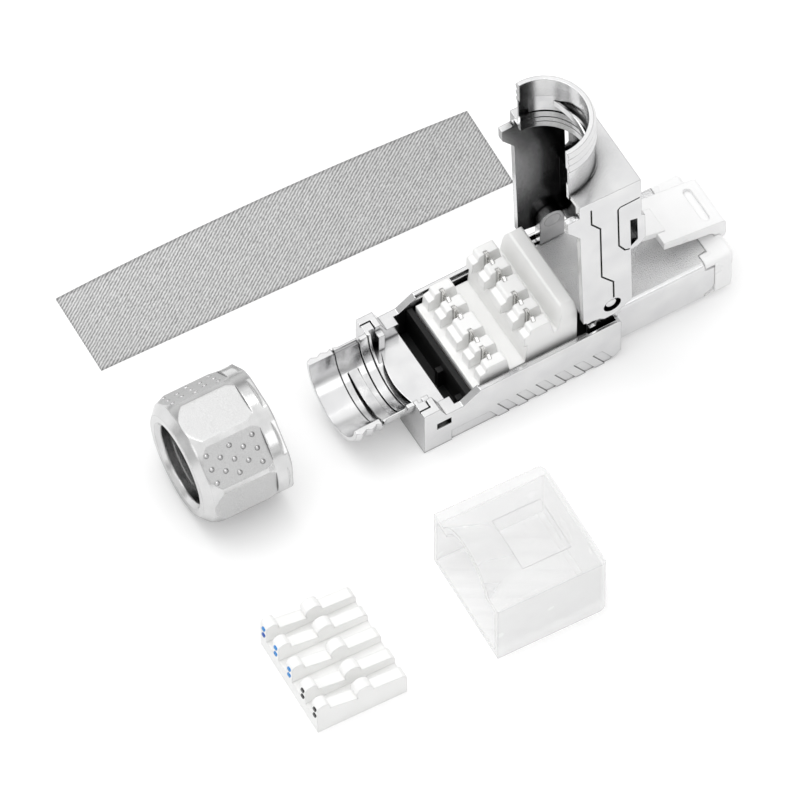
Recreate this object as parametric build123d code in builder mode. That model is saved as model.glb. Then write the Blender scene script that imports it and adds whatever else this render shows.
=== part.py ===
from build123d import *
from math import atan2, cos, radians, sin
import os

os.makedirs("parts", exist_ok=True)

# A shielded network plug that is wired in the field, lying open on a flat surface. Its cover is
# swung up on the hinge, and the gland nut, the wire organiser, the dust cap and a strip of
# screening tape lie around it.
# Millimetres, +Z up. The origin is on the underside of the tray, under the terminal block.
# Lengths along the plug are measured forward from the rear face of the tray, which is at rear_x.

# General fits
slide_gap = 0.05
rear_x = -12.0

# Tray casting
body_width = 14.3
wall = 0.8
floor = 1.0
tray_length = 24.33
rail_height = 6.91
post_height = 7.04
post_length = 1.95
dip_height = 5.45
dip_length = 2.1
dip_front_run = 2.16
toe_run = 1.3
toe_rise = 1.2
deck_height = 3.6
deck_half_width = 5.27
ledge_width = 0.35
ledge_depth = 0.4
seam_width = 0.15
seam_depth = 0.35
stub_height = 6.3
stub_length = 0.75
stub_width = 0.9
window_start = 1.6
window_length = 1.75
window_bottom = 3.4
window_height = 1.05
window_depth = 0.6
relief_depth = 0.15
strip_start = 3.4
strip_length = 4.7
strip_height = 1.86
grip_start = 9.0
grip_count = 6
grip_pitch = 2.36
grip_height = 2.56
grip_width = 1.2
grip_slant = 0.6

# Cable ring, half on the tray and half on the cover
ring_axis_height = 7.3
ring_bore = 4.75
ring_wall = 0.5
ring_length = 7.2
split_height = 6.95
split_gap = 0.12
thread_pitch = 1.25
thread_depth = 0.3
thread_count = 3
lip_length = 0.45
lip_reach = 0.95
clip_groove_depth = 0.3
clip_groove_start = 4.05
clip_groove_length = 3.05
clip_clearance = 0.12
clip_sheet = 0.2
clip_half_angle = 80
tongue_width = 1.1
tongue_rise = 0.85
tongue_half_angle = 48
notch_width = 0.28
notch_depth = 0.45

# Hinge
pivot_setback = 1.16
pivot_height = 10.88
pin_radius = 0.975
pin_clearance = 0.075
pin_recess = 0.35
ear_radius = 1.5
ear_sheet = 0.46
cover_open_angle = 88.5

# Cover casting, described as it stands when closed
cover_wall = 0.75
cover_start = 0.95
cover_lean = 0.55
cover_bottom = 7.2
cover_top = 14.75
cover_high_length = 7.45
hump_height = 0.4
hump_length = 5.75
cover_low_top = 13.35
hump_sheet = 0.95
latch_slot_half = 2.4
lug_start = 3.05
line_width = 0.18
line_depth = 0.18

# Front shell of bent sheet metal and the plug nose inside it
shell_bottom = 0.5
shell_top = 7.05
shell_sheet = 0.25
shell_lap = 3.43
shell_length = 14.6
nose_reach = 3.6
nose_tail_length = 8.5
tongue_reach = 1.2
top_tongue_reach = 1.0
top_tongue_inset = 1.45
top_tongue_taper = 0.2
contact_count = 8
contact_pitch = 1.02
contact_sheet = 0.35

# Latch, hinged at its root on the front of the nose
latch_root_setback = 0.15
latch_root_height = 6.75
latch_root_radius = 0.75
latch_width = 6.2
latch_tail_width = 3.25
latch_shoulder_run = 6.95
latch_run = 12.55
latch_groove_length = 4.6
latch_groove_width = 1.0
latch_plate = 1.15
latch_tail_plate = 0.8

# Terminal block, contacts and board
block_gap = 0.35
block_length = 12.8
block_setback = 1.4
rear_level = 6.0
row_step = 3.1
row_pitch = 5.4
first_row = 2.6
blade_y_inner = 1.7
blade_y_outer = 4.2
wire_slot = 1.1
post_rise = 2.5
post_step_rise = 1.5
post_step_length = 0.7
end_drop = 1.5
end_width = 0.75
blade_sheet = 0.4
blade_width = 1.9
blade_rise = 0.35
fork_slot = 0.35
board_bottom = 2.2
board_sheet = 1.0
board_setback = 0.9
board_gap = 0.1
board_inset = 0.84

# Insulating tray under the board
liner_sheet = 0.3
liner_gap = 0.15
liner_lead = 1.45
liner_rail_inset = 1.7
liner_rail = 1.0
liner_wall = 0.65
liner_wall_gap = 0.3
liner_wall_top = 5.6
nub_reach = 0.7
nub_drop = 1.4

# Loose pieces, with the places where they lie
loose_turn = -2.0
nut_across_flats = 13.9
nut_length = 10.2
nut_flats = 8
nut_shoulder = 0.9
nut_cable_hole = 4.6
nut_lip = 1.6
collar_length = 1.9
collar_step = 0.27
collar_round = 0.6
organiser_length = 10.7
organiser_width = 12.66
organiser_floor = 2.0
organiser_rib = 1.35
hump_run = 1.5
hump_top_height = 4.8
rear_saddle = 3.8
middle_saddle = 3.1
middle_start = 4.9
middle_run = 1.8
front_saddle = 3.6
cap_length = 13.5
cap_width = 14.1
cap_height = 9.05
cap_wall = 0.7
cap_corner = 1.2
vault_rise = 3.4
vault_width = 10.0
vault_end_width = 6.2
vault_length = 5.0
panel_depth = 0.15
panel_width = 6.8
panel_length = 5.8
tape_length = 50.0
tape_width = 10.3
tape_sheet = 0.15
tape_bow = 1.3
nut_place = (-25.6, 1.0)
organiser_place = (-27.2, -25.1)
cap_place = (-6.16, -26.17)
tape_place = (0.85, 23.55)

# What follows from these sizes
ring_outer = ring_bore + ring_wall
rail_inner = body_width / 2 - wall
cover_inner = body_width / 2 - cover_wall
ear_outer = cover_inner - slide_gap
shell_half = ear_outer - ear_sheet - slide_gap
shell_width = 2 * shell_half
shell_start = tray_length - shell_lap
shell_end = shell_start + shell_length
pivot_x = tray_length - pivot_setback
hump_end = cover_start + cover_high_length + hump_length
nose_end = shell_end + nose_reach
nose_tail = shell_end - nose_tail_length
latch_root_x = nose_end - latch_root_setback
latch_shoulder_x = latch_root_x - latch_shoulder_run
latch_tail_x = latch_root_x - latch_run
block_end = shell_start - block_setback
block_start = block_end - block_length
block_width = 2 * (rail_inner - block_gap)
blade_row_x = block_start + first_row
board_top = board_bottom + board_sheet
board_front = shell_end - board_setback
nose_board_width = 2 * (shell_half - board_inset)
liner_wall_x = block_start - liner_wall_gap - liner_wall
liner_start = liner_wall_x - liner_lead
cavity_start = liner_start - liner_gap


def side(y):
    """Plane seen from the near side: x runs forward from the tray's rear face and y is height."""
    return Plane(origin=(rear_x, y, 0), x_dir=(1, 0, 0), z_dir=(0, -1, 0))


def level(height):
    """Plane seen from above at one height, with x measured from the tray's rear face."""
    return Plane(origin=(rear_x, 0, height), x_dir=(1, 0, 0), z_dir=(0, 0, 1))


def across(distance):
    """Plane across the plug, with x to the far side and y up."""
    return Plane(origin=(rear_x + distance, 0, 0), x_dir=(0, 1, 0), z_dir=(1, 0, 0))


# The cover's own axes, turned about the hinge from where they are when it is closed
turn = radians(cover_open_angle)
cover_forward = Vector(cos(turn), 0, -sin(turn))
cover_up = Vector(sin(turn), 0, cos(turn))
pivot = Vector(rear_x + pivot_x, 0, pivot_height)
cover_origin = pivot - cover_forward * pivot_x - cover_up * pivot_height


def cover_side(y):
    """The side plane carried by the cover: its coordinates are those of the closed cover."""
    return Plane(origin=cover_origin + Vector(0, y, 0), x_dir=cover_forward, z_dir=(0, -1, 0))


def cover_level(height):
    return Plane(origin=cover_origin + cover_up * height, x_dir=cover_forward, z_dir=cover_up)


def cover_across(distance):
    return Plane(origin=cover_origin + cover_forward * distance, x_dir=(0, 1, 0), z_dir=cover_forward)


def ring_profile(radius):
    """Half section of the cable ring with its thread ridges, as distance and radius from its axis."""
    points = [(0, radius), (0, ring_outer)]
    for index in range(thread_count):
        crest = -ring_length + (thread_count - index - 0.5) * thread_pitch
        points.append((crest + thread_pitch * 0.5, ring_outer))
        points.append((crest, ring_outer + thread_depth))
    points.append((-ring_length, ring_outer))
    points.append((-ring_length, radius))
    return points


def groove_profile():
    """Half section of the bore: the cable way, the clip's groove and the lip at the deck."""
    groove_radius = ring_bore + clip_groove_depth
    groove_end = -clip_groove_start + clip_groove_length
    return [
        (-ring_length - 1, 0),
        (-ring_length - 1, ring_bore),
        (-clip_groove_start, ring_bore),
        (-clip_groove_start, groove_radius),
        (groove_end, groove_radius),
        (groove_end, ring_bore),
        (0, ring_bore),
        (seam_width / 2, ring_bore + seam_width),
        (seam_width, ring_bore),
        (lip_length + lip_reach * 0.45, ring_bore),
        (lip_length + lip_reach, ring_bore + lip_reach),
        (lip_length, ring_axis_height - deck_height),
        (lip_length, 0),
    ]


def clip_profile():
    """Half section of the screen clip's band, which lies in the groove."""
    foot = ring_bore + clip_groove_depth
    start = -clip_groove_start + clip_clearance
    end = -clip_groove_start + clip_groove_length - clip_clearance
    return [(start, foot - clip_sheet), (start, foot), (end, foot), (end, foot - clip_sheet)]


def clip_arc(radius, rise, angle, sense):
    """Three points of an arc round the ring's axis whose middle is pressed in by rise."""
    across_reach = radius * sin(radians(angle))
    down_reach = radius * cos(radians(angle))
    return (
        (-across_reach, ring_axis_height + sense * down_reach),
        (0, ring_axis_height + sense * (radius - rise)),
        (across_reach, ring_axis_height + sense * down_reach),
    )


def radial(plane, points):
    """Closed outline drawn beside the ring's axis on a side plane."""
    with BuildSketch(plane) as outline:
        with BuildLine():
            Polyline([(x, ring_axis_height + radius) for x, radius in points], close=True)
        make_face()
    return outline.sketch


def loose(place, height=0.0, tip=0.0):
    """Plane of a loose piece, turned a little from the plug as the pieces lie, and tipped nose up."""
    yaw = radians(loose_turn)
    forward = Vector(cos(yaw) * cos(tip), sin(yaw) * cos(tip), sin(tip))
    upward = Vector(-cos(yaw) * sin(tip), -sin(yaw) * sin(tip), cos(tip))
    return Plane(origin=(rear_x + place[0], place[1], height), x_dir=forward, z_dir=upward)


def turned(plane, along=0.0):
    """Plane across a loose piece at a distance along it, with x to its far side and y up."""
    return Plane(origin=plane.origin + plane.x_dir * along, x_dir=plane.y_dir, z_dir=plane.x_dir)


def beside(plane, out=0.0):
    """Side plane of a loose piece, with x along it and y up."""
    return Plane(origin=plane.origin + plane.y_dir * out, x_dir=plane.x_dir, z_dir=-plane.y_dir)


tray_ring_axis = Axis((rear_x, 0, ring_axis_height), (1, 0, 0))
cover_ring_axis = Axis(tuple(cover_origin + cover_up * ring_axis_height), tuple(cover_forward))


# Tray: one casting with the lower half of the cable ring and the hinge ears
with BuildPart() as base_tray:
    dip_front = post_length + 0.75 + dip_length
    with BuildSketch(side(body_width / 2)):
        with BuildLine():
            Polyline(
                (0, 0),
                (tray_length - toe_run, 0),
                (tray_length, toe_rise),
                (tray_length, rail_height),
                (dip_front + dip_front_run, rail_height),
                (dip_front, dip_height),
                (post_length + 0.75, dip_height),
                (post_length, post_height),
                (0, post_height),
                close=True,
            )
        make_face()
    extrude(amount=body_width)
    front_corner = base_tray.edges().filter_by(Axis.Y).sort_by(Axis.X)[-2:].sort_by(Axis.Z)[-1]
    fillet(front_corner, radius=0.5)
    revolve(radial(side(0), ring_profile(0)), axis=tray_ring_axis)
    with BuildSketch(level(split_height)):
        with Locations((-ring_length / 2, 0)):
            Rectangle(ring_length, 4 * ring_outer)
    extrude(amount=2 * ring_outer, mode=Mode.SUBTRACT)
    revolve(radial(side(0), groove_profile()), axis=tray_ring_axis, mode=Mode.SUBTRACT)
    with BuildSketch(level(deck_height)):
        with Locations((lip_length, 0)):
            Rectangle(cavity_start - lip_length + 1, 2 * deck_half_width, align=(Align.MIN, Align.CENTER))
    extrude(amount=post_height, mode=Mode.SUBTRACT)
    with BuildSketch(level(floor)):
        with Locations((cavity_start, 0)):
            Rectangle(shell_start - cavity_start, 2 * rail_inner, align=(Align.MIN, Align.CENTER))
    extrude(amount=post_height, mode=Mode.SUBTRACT)
    # Ledge along the inner edge of both rails
    with BuildSketch(level(rail_height - ledge_depth)):
        ledge_start = dip_front + dip_front_run
        with Locations((ledge_start, 0)):
            ledge_reach = 2 * (rail_inner + ledge_width)
            Rectangle(shell_start - ledge_start, ledge_reach, align=(Align.MIN, Align.CENTER))
    extrude(amount=post_height, mode=Mode.SUBTRACT)
    shell_room = shell_half + slide_gap
    with BuildSketch(level(shell_bottom)):
        with Locations((shell_start - slide_gap, 0)):
            Rectangle(tray_length - shell_start + 1, 2 * shell_room, align=(Align.MIN, Align.CENTER))
    extrude(amount=post_height, mode=Mode.SUBTRACT)
    ear_top_inner = shell_half - 0.55
    groove_width = rail_inner + 0.5 - ear_outer
    for hand in (-1, 1):
        with BuildSketch(level(rail_height)):
            with Locations((shell_start - groove_width, hand * (ear_outer + groove_width / 2))):
                Rectangle(tray_length - shell_start, groove_width, align=(Align.MIN, Align.CENTER))
        extrude(amount=-2.2, mode=Mode.SUBTRACT)
        outer_face = ear_outer if hand > 0 else -shell_room
        with BuildSketch(side(outer_face)):
            with BuildLine():
                Polyline(
                    (pivot_x - ear_radius, rail_height - 3),
                    (tray_length, rail_height - 3),
                    (pivot_x + ear_radius * 0.77, pivot_height),
                    (pivot_x - ear_radius, pivot_height),
                    close=True,
                )
            make_face()
            with Locations((pivot_x, pivot_height)):
                Circle(ear_radius * 0.77)
        extrude(amount=ear_outer - shell_room)
        outer_face = ear_outer if hand > 0 else -ear_top_inner
        with BuildSketch(side(outer_face)):
            with Locations((pivot_x, pivot_height)):
                Circle(ear_radius)
            with Locations((pivot_x - ear_radius, shell_top + slide_gap)):
                Rectangle(2 * ear_radius, pivot_height - shell_top, align=(Align.MIN, Align.MIN))
        extrude(amount=ear_outer - ear_top_inner)
    with BuildSketch(side(0)):
        with Locations((pivot_x, pivot_height)):
            Circle(pin_radius)
    extrude(amount=body_width, both=True, mode=Mode.SUBTRACT)
    # Notches in the cut edges of the ring, where the ends of the screen clip are caught
    with BuildSketch(side(body_width / 2)):
        groove_ends = (-clip_groove_start, clip_groove_length - clip_groove_start)
        with Locations((groove_ends[0], split_height), (groove_ends[1], split_height)):
            Rectangle(notch_width, 2 * notch_depth)
    extrude(amount=body_width, mode=Mode.SUBTRACT)
    # Corner posts: a seam round each ring seat, and a stub beside it on the deck
    seat_end = post_length * 0.58
    seat_half = (deck_half_width + body_width / 2) / 2
    with BuildSketch(level(post_height)):
        for hand in (-1, 1):
            with Locations((seat_end / 2, hand * (seat_half + seam_width / 2))):
                Rectangle(seat_end + seam_width, seam_width)
            seat_middle = (seat_half + deck_half_width - seam_width) / 2
            with Locations((seat_end + seam_width / 2, hand * seat_middle)):
                Rectangle(seam_width, seat_half - deck_half_width + 3 * seam_width)
    extrude(amount=-seam_depth, mode=Mode.SUBTRACT)
    for hand in (-1, 1):
        with BuildSketch(level(deck_height - 0.2)):
            with Locations((post_length, hand * deck_half_width)):
                Rectangle(stub_length, 2 * stub_width, align=(Align.MAX, Align.CENTER))
        extrude(amount=stub_height - deck_height + 0.2)
    # Outside of both walls: a snap window, a sunk strip and a row of slanted finger grips
    for hand in (-1, 1):
        outer_face = body_width / 2 if hand > 0 else -body_width / 2 + window_depth
        with BuildSketch(side(outer_face)):
            with Locations((window_start, window_bottom)):
                Rectangle(window_length, window_height, align=Align.MIN)
        extrude(amount=window_depth, mode=Mode.SUBTRACT)
        outer_face = body_width / 2 if hand > 0 else -body_width / 2 + relief_depth
        with BuildSketch(side(outer_face)):
            with BuildLine():
                Polyline(
                    (strip_start, 0),
                    (strip_start, strip_height),
                    (strip_start + strip_length, strip_height),
                    (strip_start + strip_length + grip_slant * strip_height, 0),
                    close=True,
                )
            make_face()
            for index in range(grip_count):
                grip_x = grip_start + index * grip_pitch
                with BuildLine():
                    Polyline(
                        (grip_x, grip_height),
                        (grip_x + grip_width, grip_height),
                        (grip_x + grip_width + grip_slant * grip_height, 0),
                        (grip_x + grip_slant * grip_height, 0),
                        close=True,
                    )
                make_face()
        extrude(amount=relief_depth, mode=Mode.SUBTRACT)
base_tray.part.label = "base_tray"
export_step(base_tray.part, "parts/base_tray.step")


# Hinge pins, pressed into the ears, with the cover's walls turning on their ends
for hand, place in ((-1, "near"), (1, "far")):
    with BuildPart() as hinge_pin:
        pin_end = body_width / 2 - pin_recess
        start = pin_end if hand > 0 else -ear_top_inner
        with BuildSketch(side(start)):
            with Locations((pivot_x, pivot_height)):
                Circle(pin_radius)
        extrude(amount=pin_end - ear_top_inner)
        outer_edge = hinge_pin.edges().filter_by(GeomType.CIRCLE).sort_by(Axis.Y)[-1 if hand > 0 else 0]
        chamfer(outer_edge, length=0.2)
    hinge_pin.part.label = f"hinge_pin_{place}"
    export_step(hinge_pin.part, f"parts/hinge_pin_{place}.step")

# Cover: one casting with the upper half of the cable ring, drawn closed and swung open
with BuildPart() as cover:
    half = body_width / 2
    high_end = cover_start + cover_high_length
    lug_gap = cover_bottom - rail_height
    hinge_radius = tray_length + 0.85 - pivot_x
    with BuildSketch(cover_side(half)):
        with BuildLine():
            Polyline(
                (hump_end, cover_low_top),
                (high_end, cover_low_top),
                (high_end, cover_top),
                (cover_start + cover_lean, cover_top),
                (cover_start, cover_bottom),
                (lug_start, cover_bottom),
                (lug_start, dip_height + lug_gap),
                (dip_front, dip_height + lug_gap),
                (dip_front + dip_front_run, cover_bottom),
                (pivot_x + 1, cover_bottom + 0.1),
                (pivot_x + hinge_radius * 0.75, pivot_height - 1.6),
                (pivot_x + hinge_radius, pivot_height - 1),
                (pivot_x + hinge_radius, pivot_height + 0.4),
                (pivot_x + 0.7, cover_low_top),
                close=True,
            )
        make_face()
    extrude(amount=body_width)
    with BuildSketch(cover_side(half)):
        with BuildLine():
            hump_top = cover_top + hump_height
            hump_foot = cover_low_top - cover_wall / 2
            Polyline((high_end, hump_foot), (high_end, cover_top), (high_end + 0.3, hump_top))
            Line((high_end + 0.3, hump_top), (hump_end - 1.3, hump_top))
            ThreePointArc(
                (hump_end - 1.3, hump_top), (hump_end - 0.2, hump_top - 0.8), (hump_end, cover_low_top)
            )
            Polyline((hump_end, cover_low_top), (hump_end, hump_foot), (high_end, hump_foot))
        make_face()
    extrude(amount=body_width)
    revolve(radial(cover_side(0), ring_profile(0)), axis=cover_ring_axis)
    with BuildSketch(cover_side(0)):
        with Locations((-ring_wall, ring_axis_height)):
            Rectangle(ring_wall + cover_start + cover_wall, ring_outer, align=Align.MIN)
    revolve(axis=cover_ring_axis)
    with BuildSketch(cover_level(split_height + split_gap)):
        with Locations((-ring_length, 0)):
            reach = ring_length + cover_start + cover_wall
            Rectangle(reach, 4 * ring_outer, align=(Align.MIN, Align.CENTER))
    extrude(amount=-2 * ring_outer, mode=Mode.SUBTRACT)
    # The inside is open below and at the hinge end, with a wall left behind it for the ring
    with BuildSketch(cover_side(cover_inner)):
        with BuildLine():
            Polyline(
                (cover_start + cover_wall, cover_bottom - 3),
                (cover_start + cover_wall, cover_bottom),
                (cover_start + cover_lean + cover_wall, cover_top - cover_wall),
                (high_end - 0.2, cover_top - cover_wall),
                (high_end + 0.3, hump_top - hump_sheet),
                (hump_end - 1.4, hump_top - hump_sheet),
                (hump_end - 0.6, cover_low_top - cover_wall),
                (pivot_x + 3, cover_low_top - cover_wall),
                (pivot_x + 3, cover_bottom - 3),
                close=True,
            )
        make_face()
    extrude(amount=2 * cover_inner, mode=Mode.SUBTRACT)
    revolve(radial(cover_side(0), groove_profile()), axis=cover_ring_axis, mode=Mode.SUBTRACT)
    with BuildSketch(cover_side(0)):
        with Locations((0, ring_axis_height)):
            Rectangle(cover_start + cover_wall + lip_reach, ring_bore, align=Align.MIN)
    revolve(axis=cover_ring_axis, mode=Mode.SUBTRACT)
    # Finger slot under the hump, open on both sides
    with BuildSketch(cover_side(half)):
        with BuildLine():
            Polyline(
                (high_end, cover_low_top),
                (high_end + 0.3, hump_top - hump_sheet),
                (hump_end - 1.4, hump_top - hump_sheet),
                (hump_end - 0.7, cover_low_top),
                close=True,
            )
        make_face()
    extrude(amount=body_width, mode=Mode.SUBTRACT)
    # Slot for the tail of the latch
    with BuildSketch(cover_level(cover_bottom)):
        with Locations((hump_end + 2, 0)):
            Rectangle(tray_length, 2 * latch_slot_half, align=(Align.MIN, Align.CENTER))
    extrude(amount=cover_top, mode=Mode.SUBTRACT)
    with BuildSketch(cover_side(0)):
        with Locations((pivot_x, pivot_height)):
            Circle(pin_radius + pin_clearance)
    extrude(amount=body_width, both=True, mode=Mode.SUBTRACT)
    # Stepped line cut into both side walls, and the outline of the raised panel by the slot
    for hand in (-1, 1):
        face = half if hand > 0 else -half + line_depth
        with BuildSketch(cover_side(face)):
            with BuildLine():
                path = Polyline(
                    (2.6, cover_bottom + 1.35),
                    (5.4, cover_bottom + 1.35),
                    (7.1, cover_bottom + 2.4),
                    (pivot_x - 6.5, cover_bottom + 2.4),
                    (pivot_x - 4.4, cover_bottom + 3.8),
                    (pivot_x - 1.3, cover_bottom + 3.8),
                )
                offset(path, amount=line_width, kind=Kind.INTERSECTION, side=Side.LEFT)
            make_face()
            with BuildLine():
                panel = Polyline(
                    (high_end - 3.65, cover_top - 0.2),
                    (high_end - 3.65, cover_low_top - 1.2),
                    (high_end - 3.3, cover_low_top - 1.55),
                    (hump_end - 1.9, cover_low_top - 1.55),
                    (hump_end - 0.4, cover_low_top - 0.8),
                    (hump_end - 0.15, cover_low_top - 0.2),
                )
                offset(panel, amount=line_width, kind=Kind.INTERSECTION, side=Side.LEFT)
            make_face()
        extrude(amount=line_depth, mode=Mode.SUBTRACT)
cover.part.label = "cover"
export_step(cover.part, "parts/cover.step")

# Screen clips: bands of spring sheet in the groove of each half ring. A tongue is cut free in the
# middle of each band and pressed in, so that it grips the cable's braid.
clip_foot = ring_bore + clip_groove_depth - 0.01
band_middle = -clip_groove_start + clip_groove_length / 2
for place, axis, plane, slice_plane, sense in (
    ("lower", tray_ring_axis, side(0), across(band_middle - tongue_width / 2), -1),
    ("upper", cover_ring_axis, cover_side(0), cover_across(band_middle - tongue_width / 2), 1),
):
    with BuildPart() as screen_clip:
        section = radial(plane, clip_profile())
        start_angle = 180 - clip_half_angle if sense < 0 else -clip_half_angle
        revolve(section.rotate(axis, start_angle), axis=axis, revolution_arc=2 * clip_half_angle)
        with BuildSketch(slice_plane.offset(-clip_clearance)):
            opening_angle = tongue_half_angle - 2
            with BuildLine():
                outer = ThreePointArc(*clip_arc(clip_foot + 0.3, 0, opening_angle, sense))
                inner = ThreePointArc(*clip_arc(ring_bore - 0.3, 0, opening_angle, sense))
                Line(outer @ 0, inner @ 0)
                Line(outer @ 1, inner @ 1)
            make_face()
        extrude(amount=tongue_width + 2 * clip_clearance, mode=Mode.SUBTRACT)
        with BuildSketch(slice_plane):
            with BuildLine():
                outer = ThreePointArc(*clip_arc(clip_foot, tongue_rise, tongue_half_angle, sense))
                inner_foot = clip_foot - clip_sheet
                inner = ThreePointArc(*clip_arc(inner_foot, tongue_rise, tongue_half_angle, sense))
                Line(outer @ 0, inner @ 0)
                Line(outer @ 1, inner @ 1)
            make_face()
        extrude(amount=tongue_width)
    screen_clip.part.label = f"screen_clip_{place}"
    export_step(screen_clip.part, f"parts/screen_clip_{place}.step")

# Front shell: a rounded tube of thin sheet with tongues that hold the nose
with BuildPart() as front_shell:
    middle = (shell_bottom + shell_top) / 2
    shell_height = shell_top - shell_bottom
    with BuildSketch(across(shell_start)):
        with Locations((0, middle)):
            RectangleRounded(shell_width, shell_height, radius=0.6)
            RectangleRounded(
                shell_width - 2 * shell_sheet,
                shell_height - 2 * shell_sheet,
                radius=0.35,
                mode=Mode.SUBTRACT,
            )
    extrude(amount=shell_end - shell_start)
    for hand in (-1, 1):
        outer_face = shell_half if hand > 0 else -shell_half + shell_sheet
        with BuildSketch(side(outer_face)):
            with BuildLine():
                root = (shell_end, shell_bottom + 0.9)
                low_corner = (shell_end + tongue_reach, shell_bottom + 2.1)
                ThreePointArc(root, (shell_end + tongue_reach * 0.7, shell_bottom + 1.3), low_corner)
                Polyline(
                    low_corner,
                    (shell_end + tongue_reach, shell_top - 1.25),
                    (shell_end, shell_top - 1.05),
                    root,
                )
            make_face()
        extrude(amount=shell_sheet)
    with BuildSketch(level(shell_top - shell_sheet)):
        with BuildLine():
            tongue_root = shell_half - top_tongue_inset
            tongue_tip = tongue_root - top_tongue_taper
            Polyline(
                (shell_end, -tongue_root),
                (shell_end + top_tongue_reach, -tongue_tip),
                (shell_end + top_tongue_reach, tongue_tip),
                (shell_end, tongue_root),
                close=True,
            )
        make_face()
    extrude(amount=shell_sheet)
front_shell.part.label = "front_shell"
export_step(front_shell.part, "parts/front_shell.step")

# Plug nose: clear moulding with a board slot, contact slots and the socket of the latch
with BuildPart() as plug_nose:
    tail_half = shell_half - shell_sheet - slide_gap
    tail_height = shell_height - 2 * shell_sheet - 2 * slide_gap
    with BuildSketch(across(nose_tail)):
        with Locations((0, middle)):
            RectangleRounded(2 * tail_half, tail_height, radius=0.3)
    extrude(amount=nose_end - nose_tail - 1)
    with BuildSketch(across(shell_end + slide_gap)):
        with Locations((0, middle)):
            RectangleRounded(shell_width, shell_height, radius=0.6)
    extrude(amount=nose_end - shell_end - slide_gap)
    front_edges = plug_nose.faces().sort_by(Axis.X)[-1].edges()
    chamfer(front_edges, length=0.35)
    # Recesses for the tongues of the shell
    for hand in (-1, 1):
        outer_face = shell_half if hand > 0 else -shell_half + shell_sheet + slide_gap
        with BuildSketch(side(outer_face)):
            with Locations((shell_end, shell_bottom + 0.6)):
                Rectangle(tongue_reach + slide_gap, shell_height - 1.4, align=(Align.MIN, Align.MIN))
        extrude(amount=shell_sheet + slide_gap, mode=Mode.SUBTRACT)
    with BuildSketch(level(shell_top - shell_sheet - slide_gap)):
        with Locations((shell_end, 0)):
            recess_width = 2 * (tongue_root + slide_gap)
            Rectangle(top_tongue_reach + slide_gap, recess_width, align=(Align.MIN, Align.CENTER))
    extrude(amount=1, mode=Mode.SUBTRACT)
    # Slot for the board, room for the parts on it, and the slots of the contacts
    with BuildSketch(across(nose_tail)):
        with Locations((0, board_bottom + board_sheet / 2)):
            Rectangle(nose_board_width + 2 * slide_gap, board_sheet + 2 * slide_gap)
    extrude(amount=board_front + slide_gap - nose_tail, mode=Mode.SUBTRACT)
    with BuildSketch(across(nose_tail)):
        with Locations((0, board_top + 1.4)):
            Rectangle(nose_board_width - 1.4, 2.8)
    extrude(amount=board_front - nose_tail - 1.5, mode=Mode.SUBTRACT)
    with BuildSketch(level(shell_bottom)):
        with Locations((board_front - 1.5, 0)):
            with GridLocations(contact_pitch, contact_pitch, 1, contact_count):
                Rectangle(6, contact_sheet + 2 * slide_gap, align=(Align.MIN, Align.CENTER))
    extrude(amount=board_bottom + 1.2, mode=Mode.SUBTRACT)
    with BuildSketch(side(latch_width / 2 + slide_gap)):
        with Locations((latch_root_x, latch_root_height)):
            Circle(latch_root_radius + slide_gap)
    extrude(amount=latch_width + 2 * slide_gap, mode=Mode.SUBTRACT)
plug_nose.part.label = "plug_nose"
export_step(plug_nose.part, "parts/plug_nose.step")

# Plug contacts: eight gilt blades under the front of the board
for index in range(contact_count):
    contact_y = (index - (contact_count - 1) / 2) * contact_pitch
    with BuildPart() as plug_contact:
        with BuildSketch(side(contact_y + contact_sheet / 2)):
            with BuildLine():
                Polyline(
                    (board_front - 1.4, board_bottom),
                    (board_front - 1.4, shell_bottom + 0.9),
                    (board_front + 2.4, shell_bottom + 0.5),
                    (board_front + 3.1, shell_bottom + 1),
                    (board_front + 3.1, board_bottom + 0.9),
                    (board_front + 2.4, board_bottom + 0.9),
                    (board_front + 1.2, board_bottom),
                    close=True,
                )
            make_face()
        extrude(amount=contact_sheet)
    plug_contact.part.label = f"plug_contact_{index + 1}"
    export_step(plug_contact.part, f"parts/plug_contact_{index + 1}.step")

# Latch: a lever that bends at its root, drawn with a round root in a socket of the nose
with BuildPart() as latch_tab:
    root_top = latch_root_height + latch_root_radius
    shoulder_low = 9.2
    tail_low = 11.3
    with BuildSketch(side(latch_width / 2)):
        with BuildLine():
            Polyline(
                (latch_root_x + latch_root_radius, latch_root_height),
                (latch_root_x + latch_root_radius, root_top + 1.5),
                (latch_shoulder_x, shoulder_low + latch_plate),
                (latch_shoulder_x, shoulder_low),
                (latch_root_x - 2.7, root_top + 0.6),
                (latch_root_x - 1.2, root_top + 0.3),
                (latch_root_x, latch_root_height),
                close=True,
            )
        make_face()
        with Locations((latch_root_x, latch_root_height)):
            Circle(latch_root_radius)
    extrude(amount=latch_width)
    with BuildSketch(side(latch_tail_width / 2)):
        with BuildLine():
            Polyline(
                (latch_shoulder_x + 1, shoulder_low + latch_plate - 0.1),
                (latch_tail_x + 0.3, tail_low + latch_tail_plate),
                (latch_tail_x, tail_low + latch_tail_plate * 0.5),
                (latch_tail_x + 0.2, tail_low),
                (latch_shoulder_x + 1, shoulder_low + 0.25),
                close=True,
            )
        make_face()
    extrude(amount=latch_tail_width)
    upper_front = latch_tab.edges().filter_by(Axis.Y).group_by(Axis.X)[-1].sort_by(Axis.Z)[-1]
    fillet(upper_front, radius=0.5)
    with BuildSketch(level(root_top + 1.35)):
        with Locations((latch_root_x - 1.1, 0)):
            SlotOverall(latch_groove_length, latch_groove_width, rotation=90)
    extrude(amount=2, mode=Mode.SUBTRACT)
latch_tab.part.label = "latch_tab"
export_step(latch_tab.part, "parts/latch_tab.step")

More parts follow.
